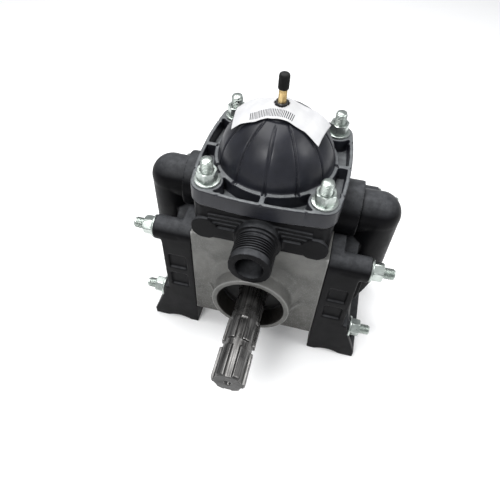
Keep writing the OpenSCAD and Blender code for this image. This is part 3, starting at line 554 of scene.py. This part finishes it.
def thread(root_r, crest_r, pitch, length, steps=40):
    """A screw thread along Z from 0 to length: a closed ridge that fades in and out at its ends."""
    sunk_r = root_r - 0.3 * MM
    ridge = ((-0.46, sunk_r), (-0.40, root_r), (-0.09, crest_r),
             (0.09, crest_r), (0.40, root_r), (0.46, sunk_r))
    width = len(ridge)
    count = int(length / pitch * steps)
    fading = 0.4 * steps
    points = []
    for i in range(count + 1):
        angle = 2 * math.pi * i / steps
        middle = length * i / count
        fade = min(1.0, i / fading, (count - i) / fading)
        for across, radius in ridge:
            r = sunk_r + (radius - sunk_r) * fade
            points.append(Vector((r * math.cos(angle), r * math.sin(angle), middle + across * pitch)))
    faces = grid_faces(count + 1, width, closed_columns=True)
    faces.append(tuple(range(width - 1, -1, -1)))
    faces.append(tuple(range(count * width, (count + 1) * width)))
    mesh = mesh_of(points, faces)
    smooth_mesh(mesh, math.radians(40))
    return mesh


def port_threads():
    """The thread on each port, behind a smooth lip."""
    long, pitch = 19 * MM, 2.9 * MM
    ridge = thread(PORT_R - THREAD_DEPTH, PORT_R, pitch, long)
    start = PORT_TIP - 8.5 * MM - long
    for name, way in (("front_port_thread", 1), ("rear_port_thread", -1)):
        spot = Matrix.Translation((0, -way * start, PORT_Z)) @ Matrix.Rotation(way * math.radians(90), 4, "X")
        new_piece(name, placed(ridge, spot), "pump_body", "head_plastic")


port_threads()


# ---------------------------------------------------------------- fasteners

def lathe(profile, steps=48):
    """A closed solid turned about Z from (radius, height) points; a profile that starts and ends on the
    axis is closed by its end points, and any other is closed into a ring."""
    points = []
    for radius, z in profile:
        for i in range(steps):
            angle = 2 * math.pi * i / steps
            points.append(Vector((radius * math.cos(angle), radius * math.sin(angle), z)))
    ring = profile[0][0] > 0
    faces = grid_faces(len(profile), steps, closed_columns=True, closed_rows=ring)
    mesh = cleaned(mesh_of(points, faces))
    smooth_mesh(mesh)
    return mesh


def hexagon(across, height, hole_r, steps=96, chamfer=30):
    """A hexagon nut standing on z = 0, with turned chamfers, rounded corners and an eased hole."""
    flat = across / 2
    slope = math.tan(math.radians(chamfer))

    def hex_r(angle):
        near = (angle + math.pi / 6) % (math.pi / 3) - math.pi / 6
        return min(flat / math.cos(near), flat * 1.135)

    rows = []
    for z in (0, 0.25 * MM, 0.6 * MM, 1.2 * MM, height / 2, height - 1.2 * MM, height - 0.6 * MM,
              height - 0.25 * MM, height):
        chamfer_r = flat * 0.985 + min(z, height - z) / slope
        rows.append([(min(hex_r(2 * math.pi * i / steps), chamfer_r), z) for i in range(steps)])
    ease = 0.9 * MM
    for radius, z in ((hole_r + ease, height), (hole_r, height - ease), (hole_r, ease), (hole_r + ease, 0)):
        rows.append([(radius, z)] * steps)
    points = []
    for row in rows:
        for i, (radius, z) in enumerate(row):
            angle = 2 * math.pi * i / steps
            points.append(Vector((radius * math.cos(angle), radius * math.sin(angle), z)))
    faces = grid_faces(len(rows), steps, closed_columns=True, closed_rows=True)
    mesh = cleaned(mesh_of(points, faces), degenerate=True)
    smooth_mesh(mesh, math.radians(24))
    return mesh


def washer(inner, outer, thick):
    """A flat washer standing on z = 0 with eased rims."""
    ease = 0.45 * MM
    profile = [(inner, ease / 2), (inner, thick - ease / 2), (inner + ease / 2, thick), (outer - ease, thick),
               (outer - ease / 3, thick - ease / 3), (outer, thick - ease), (outer, ease), (outer - ease, 0),
               (inner + ease / 2, 0)]
    return lathe(profile, 64)


def stud(length, radius, threaded, pitch=1.75 * MM):
    """A stud standing on z = 0 with its outer end threaded and chamfered."""
    root = radius - 0.85 * MM
    core = lathe([(0, 0), (radius, 0), (radius, length - threaded), (root, length - threaded + 1 * MM),
                  (root, length - 0.7 * MM), (root - 1.2 * MM, length), (0, length)])
    raised = Matrix.Translation((0, 0, length - threaded + 1.6 * MM))
    ridge = placed(thread(root, radius, pitch, threaded - 3 * MM), raised)
    return joined([core, ridge])


def seats():
    """Every stud's side, place and seat height over the shaft's axis, outward along its cylinder."""
    side_height = STUD_HIGH.x - WASHER_T - NUT_H - STUD_TIP
    heights = {"left": side_height, "right": side_height, "top": SEAT_Z - SHAFT_Z}
    for side in ("left", "right", "top"):
        for x in (-1, 1):
            for y in (-1, 1):
                yield side, Vector((x * STUD_HALF, y * STUD_HALF, heights[side]))


def turned(seed):
    """A steady angle for the fastener at a place, so that no two nuts stand alike."""
    return Matrix.Rotation(math.radians((seed * 37) % 60), 4, "Z")


def build_fasteners():
    """A washer, a nut and a stud at each of the twelve seats."""
    nut = hexagon(NUT_AF, NUT_H, STUD_R)
    plain = washer(STUD_R + 0.2 * MM, WASHER_R, WASHER_T)
    threaded = stud(STUD_LENGTH, STUD_R, STUD_THREADED)
    on_washer = Matrix.Translation((0, 0, WASHER_T))
    through_nut = Matrix.Translation((0, 0, WASHER_T + NUT_H + STUD_TIP - STUD_LENGTH))
    nuts, washers, studs = [], [], []
    for count, (side, seat) in enumerate(seats()):
        at_seat = side_matrix(side) @ Matrix.Translation(seat)
        washers.append(placed(plain, at_seat))
        nuts.append(placed(nut, at_seat @ on_washer @ turned(count)))
        studs.append(placed(threaded, at_seat @ through_nut @ turned(count)))
    new_piece("head_nut_set", joined(nuts), "pump_body", "zinc_plated_steel", "head_nuts")
    new_piece("head_washer_set", joined(washers), "pump_body", "zinc_plated_steel", "head_washers")
    new_piece("head_stud_set", joined(studs), "pump_body", "zinc_plated_steel", "head_studs")


build_fasteners()


# ---------------------------------------------------------------- valve springs

def coil(radius, wire, length, turns, steps=28, around=10):
    """A compression spring of round wire that stands on z = 0, its end turns lying close to the ends."""
    count = turns * steps
    flat_turns = 0.8
    points = []
    for i in range(count + 1):
        share = i / count
        lying = min(1.0, share * turns / flat_turns, (1 - share) * turns / flat_turns)
        angle = 2 * math.pi * i / steps
        climb = wire + (length - 2 * wire) * (0.5 - 0.5 * math.cos(math.pi * share) * (0.6 + 0.4 * lying))
        for k in range(around):
            turn = 2 * math.pi * k / around
            r = radius + wire * math.cos(turn)
            points.append(Vector((r * math.cos(angle), r * math.sin(angle), climb + wire * math.sin(turn))))
    faces = grid_faces(count + 1, around, closed_columns=True)
    faces.append(tuple(range(around - 1, -1, -1)))
    faces.append(tuple(range(count * around, (count + 1) * around)))
    mesh = mesh_of(points, faces)
    smooth_mesh(mesh)
    return mesh


def valve_springs():
    """A spring that stands on each valve plate."""
    clearance = 0.05 * MM
    springs_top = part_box("valve_springs")[1].x
    plates_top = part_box("right_outlet_plate")[1].x
    length = springs_top - plates_top - 2 * clearance
    for joint in RECORD["behaviour"]["joints"]:
        if not joint["name"].endswith("_lift"):
            continue
        valve = joint["name"].removesuffix("_lift")
        way = Vector(joint["axis"])
        low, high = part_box(f"{valve}_plate")
        thick = abs((high - low).dot(way))
        seat = (low + high) / 2 + way * (thick / 2 + clearance)
        stands = Matrix.Translation(seat) @ way.to_track_quat("Z", "Y").to_matrix().to_4x4()
        spring = placed(coil(5.7 * MM, 0.6 * MM, length, 3), stands)
        piece = new_piece(f"{valve}_valve_spring", spring, "pump_body", "stainless_steel", "valve_springs")
        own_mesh(piece)


valve_springs()


# ---------------------------------------------------------------- tyre valve

def valve_stem():
    """The threaded stem, standing on a flange inside the dome."""
    bottom, top = VALVE_LOW.z, VALVE_HIGH.z
    radius = 3.85 * MM
    root = radius - 0.45 * MM
    bore = radius - 1.6 * MM
    flange = 8 * MM
    core = lathe([(bore, bottom), (flange, bottom), (flange, bottom + 2 * MM), (root, bottom + 2.4 * MM),
                  (root, top - 0.4 * MM), (root - 0.4 * MM, top), (bore, top)])
    ridge = placed(thread(root, radius, 0.95 * MM, top - NUT_LOW.z - 1 * MM, steps=32),
                   Matrix.Translation((0, 0, NUT_LOW.z)))
    new_piece("tyre_valve_stem", joined([core, ridge]), "pump_body", "brass", "tyre_valve")


def valve_cap():
    """A moulded cap with fine grip ribs round its lower half and a domed end."""
    low, high = CAP_LOW.z, CAP_HIGH.z
    outer = (CAP_HIGH.x - CAP_LOW.x) / 2
    height = high - low
    bore, deep = 3.89 * MM, 11 * MM
    ribs, rib_depth = 24, 0.28 * MM
    steps = ribs * 6
    rows = [(bore, 0, 0), (outer - 0.5 * MM, 0, 0), (outer, 0.5 * MM, 1), (outer, height * 0.62, 1),
            (outer, height * 0.68, 0), (outer - 0.1 * MM, height - 2.2 * MM, 0),
            (outer - 0.5 * MM, height - 1.0 * MM, 0), (outer - 1.4 * MM, height - 0.25 * MM, 0),
            (outer - 2.6 * MM, height, 0), (0, height, 0)]
    points = []
    for radius, z, ribbed in rows:
        for i in range(steps):
            angle = 2 * math.pi * i / steps
            r = radius - rib_depth * (0.5 - 0.5 * math.cos(ribs * angle)) * ribbed
            points.append(Vector((r * math.cos(angle), r * math.sin(angle), low + z)))
    outside = mesh_of(points, grid_faces(len(rows), steps, closed_columns=True))
    inside = lathe([(0, low + deep), (bore, low + deep), (bore, low)], steps)
    mesh = cleaned(joined([outside, inside]), gap=1e-6)
    smooth_mesh(mesh, math.radians(40))
    new_piece("tyre_valve_cap_moulded", mesh, "valve_cap", "cap_plastic", "tyre_valve_cap")


def valve_nut():
    """The nut that holds the stem in the dome."""
    low, high = NUT_LOW.z, NUT_HIGH.z
    nut = hexagon((NUT_HIGH.y - NUT_LOW.y) * 0.99, high - low, 3.87 * MM, steps=72)
    seated = placed(nut, Matrix.Translation((0, 0, low)))
    new_piece("tyre_valve_hex_nut", seated, "pump_body", "blackened_steel", "tyre_valve_nut")


valve_stem()
valve_cap()
valve_nut()


# ---------------------------------------------------------------- paper label

# The label's front and rear edges from left to right, in millimetres across and along the pump
LABEL_FRONT = [(-41, -23), (-33, -21.5), (-19, -21.5), (-9, -18), (1, -18.5), (14, -20), (26, -21), (40, -25)]
LABEL_REAR = [(-45, 14), (-36, 17), (-26, 17.5), (-12, 14), (4, 13.5), (20, 12.5), (33, 14), (47, 11)]


def along(edge, t):
    """The place at share t of an edge, with a slight ease at each of its corners."""
    place = t * (len(edge) - 1)
    i = min(int(place), len(edge) - 2)
    share = place - i
    share = share * share * (3 - 2 * share) * 0.35 + share * 0.65
    a, b = Vector(edge[i]), Vector(edge[i + 1])
    return a.lerp(b, share) * MM


def dome_height(away):
    """The height of the paper's bed over the dome's centre: a sphere, and a cone beyond its shoulder."""
    bed = DOME_R + 0.9 * MM
    shoulder = bed * 0.72
    if away < shoulder:
        return math.sqrt(bed ** 2 - away ** 2)
    shoulder_h = math.sqrt(bed ** 2 - shoulder ** 2)
    return shoulder_h - (away - shoulder) * shoulder / shoulder_h * 0.95


def label_lift(spot, away):
    """How far the paper stands off its bed: creases, a tent round the stem and lifted outer edges."""
    crumple = noise.noise(Vector((spot.x * 55, spot.y * 55, 3.0))) * 1.7 * MM
    crumple += noise.noise(Vector((spot.x * 140, spot.y * 140, 9.0))) * 0.5 * MM
    tent = 2.6 * MM * math.exp(-(max(0.0, away - 8 * MM) / (7 * MM)) ** 2)
    edge = max(0.0, away - 30 * MM) * 0.22
    return max(1.5 * MM + tent + crumple + edge, 0.4 * MM)


def build_label():
    """A sheet that lies on the dome, pierced by the stem, with curled corners and creases."""
    columns, rows = 90, 56
    stem_hole_r = 6.9 * MM
    points, uvs = [], []
    for r in range(rows):
        v = r / (rows - 1)
        for c in range(columns):
            u = c / (columns - 1)
            spot = along(LABEL_FRONT, u).lerp(along(LABEL_REAR, u), v)
            away = spot.length
            height = DOME_CENTRE_Z + dome_height(away) + label_lift(spot, away)
            points.append(Vector((spot.x, spot.y, height)))
            uvs.append((u, v))
    kept = []
    for face in grid_faces(rows, columns):
        middle = sum((points[i] for i in face), Vector()) / 4
        if math.hypot(middle.x, middle.y) > stem_hole_r:
            kept.append(face)
    mesh = mesh_of(points, kept)
    layer = mesh.uv_layers.new(name="sheet")
    for loop in mesh.loops:
        layer.data[loop.index].uv = uvs[loop.vertex_index]
    mesh.shade_smooth()
    piece = riding_piece("paper_label", mesh, "pump_body", PAPER)
    thick = piece.modifiers.new("thickness", "SOLIDIFY")
    thick.thickness = 0.15 * MM


build_label()


# ---------------------------------------------------------------- floor, light and camera

def build_stage():
    """A pale matt floor that glows faintly, under an even pale sky."""
    half = 6.0
    corners = [(-half, -half, 0), (half, -half, 0), (half, half, 0), (-half, half, 0)]
    floor = bpy.data.objects.new("floor", mesh_of(corners, [(0, 1, 2, 3)]))
    bpy.context.scene.collection.objects.link(floor)
    f = Finish("floor_pale", specular=0.2)
    f.colour(f.mixed(f.noise(3, 2), (0.90, 0.90, 0.90), (0.92, 0.92, 0.92)))
    f.shader.inputs["Roughness"].default_value = 0.75
    f.shader.inputs["Emission Color"].default_value = (1, 1, 1, 1)
    f.shader.inputs["Emission Strength"].default_value = 0.12
    floor.data.materials.append(f.material)
    world = bpy.data.worlds.new("studio")
    world.use_nodes = True
    sky = world.node_tree.nodes["Background"]
    sky.inputs["Color"].default_value = (0.95, 0.97, 1.0, 1)
    sky.inputs["Strength"].default_value = 0.45
    bpy.context.scene.world = world


def area_light(name, place, size, power):
    """A soft light that faces the middle of the pump."""
    aim = Vector((0, 0, 0.15))
    data = bpy.data.lights.new(name, "AREA")
    data.shape = "RECTANGLE"
    data.size, data.size_y = size
    data.energy = power
    lamp = bpy.data.objects.new(name, data)
    lamp.location = place
    lamp.rotation_euler = (aim - Vector(place)).to_track_quat("-Z", "Y").to_euler()
    bpy.context.scene.collection.objects.link(lamp)


def build_camera():
    """The camera stands in front of and above the pump, a little to its right, and leans slightly."""
    azimuth, elevation, lean = (math.radians(angle) for angle in (11.2, 49.8, 3.2))
    distance = 567.9 * MM
    aim = Vector((-21.7, 0, 82.8)) * MM
    outward = Vector((math.sin(azimuth), -math.cos(azimuth), 0))
    back = outward * math.cos(elevation) + Vector((0, 0, math.sin(elevation)))
    level = Vector((math.cos(azimuth), math.sin(azimuth), 0))
    upright = back.cross(level)
    across = level * math.cos(lean) + upright * math.sin(lean)
    up = upright * math.cos(lean) - level * math.sin(lean)
    data = bpy.data.cameras.new("camera")
    data.sensor_width = 36
    data.lens = 32.4
    data.clip_start = 0.01
    camera = bpy.data.objects.new("camera", data)
    turn = Matrix((across, up, back)).transposed().to_4x4()
    camera.matrix_world = Matrix.Translation(aim + back * distance) @ turn
    bpy.context.scene.collection.objects.link(camera)
    bpy.context.scene.camera = camera


build_stage()
area_light("overhead", (-0.25, 0.15, 1.25), (1.1, 0.9), 17)
area_light("key", (-0.35, -0.95, 1.15), (0.35, 0.35), 7)
area_light("fill", (0.95, -0.1, 1.0), (0.5, 0.5), 6)
build_camera()
bpy.context.scene.view_settings.view_transform = "Standard"
